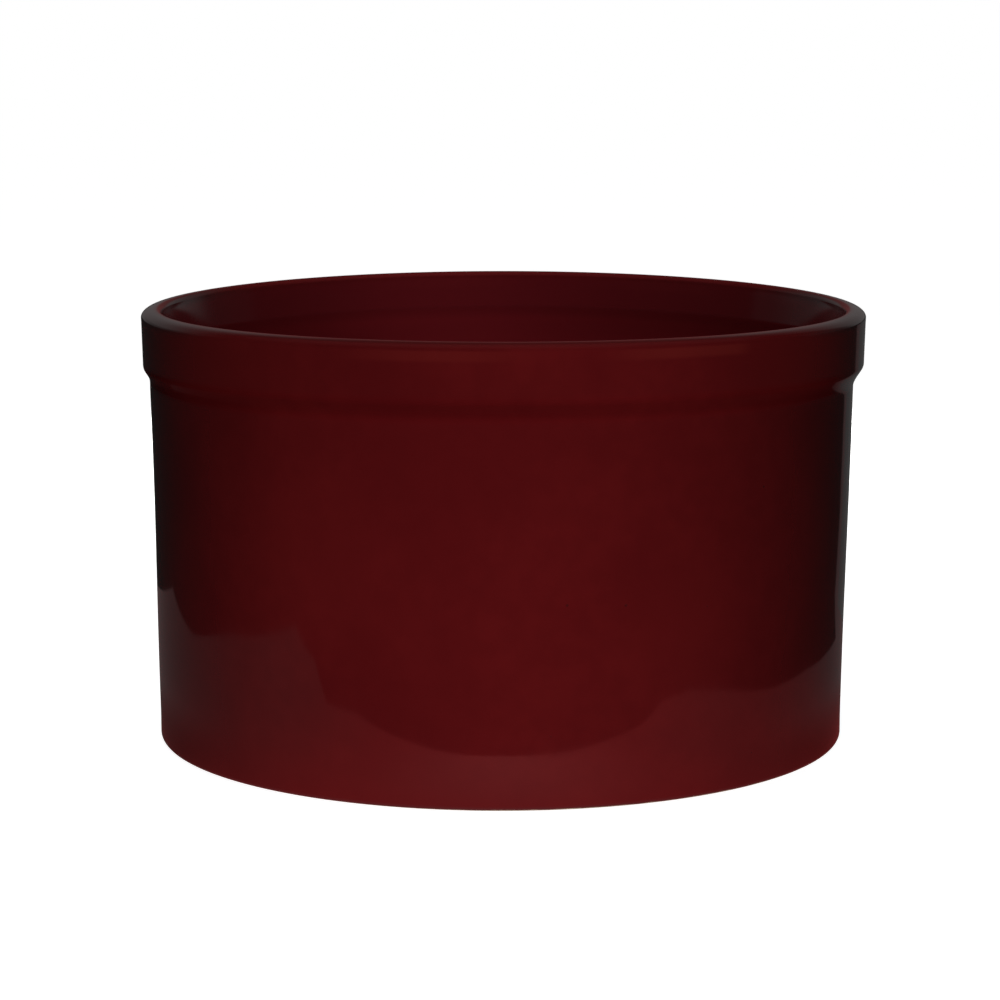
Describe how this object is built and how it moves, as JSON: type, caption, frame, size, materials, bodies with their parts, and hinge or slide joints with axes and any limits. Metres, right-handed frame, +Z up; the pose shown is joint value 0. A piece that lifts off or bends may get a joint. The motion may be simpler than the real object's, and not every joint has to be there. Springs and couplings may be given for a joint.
{
  "type": "preserving crock",
  "caption": "Low, wide glazed stoneware preserving crock: near-straight wall, raised band under a rounded lip, open mouth, flat floor and a bare foot ring.",
  "frame": {"origin": "on the crock's axis, in the plane that its foot ring stands on", "axes": "+Z up along the crock's axis, out of the open mouth; the crock is round, so +X and +Y are free, and the picture looks along +Y"},
  "size_m": [0.274, 0.274, 0.1653],
  "materials": {
    "glaze": "glossy"
  },
  "bodies": {
    "root": {"crock_body": "glaze"}
  },
  "joints": []
}
